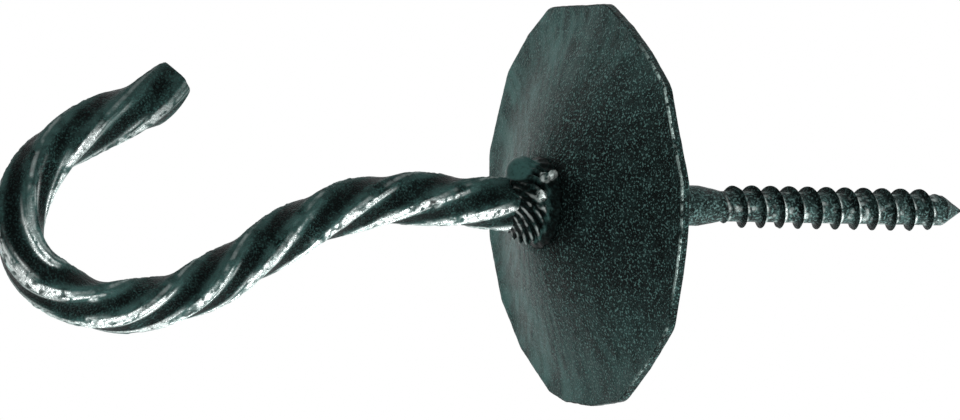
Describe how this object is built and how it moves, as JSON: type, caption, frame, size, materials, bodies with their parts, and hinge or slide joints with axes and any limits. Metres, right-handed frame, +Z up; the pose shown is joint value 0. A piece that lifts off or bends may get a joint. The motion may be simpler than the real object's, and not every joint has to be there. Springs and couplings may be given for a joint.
{
  "type": "screw hook",
  "caption": "Forged ceiling hook of twisted square bar, turned down to a wood screw above and welded under a dished cover plate.",
  "frame": {"origin": "centre of the plate's rim on the screw's axis, in the plane that lies against the ceiling", "axes": "+Z up along the screw into the ceiling; the hook hangs below with its bends in the XZ plane and its tip on the -X side"},
  "size_m": [0.0703, 0.0708, 0.1907],
  "materials": {
    "bar": "waxed black forge scale, worn bright along the edges",
    "plate": "waxed black forge scale, finely pitted",
    "weld": "blackened weld, half glossy"
  },
  "bodies": {
    "root": {"twisted_hook": "bar", "ceiling_plate": "plate", "weld_bead": "weld"}
  },
  "joints": []
}
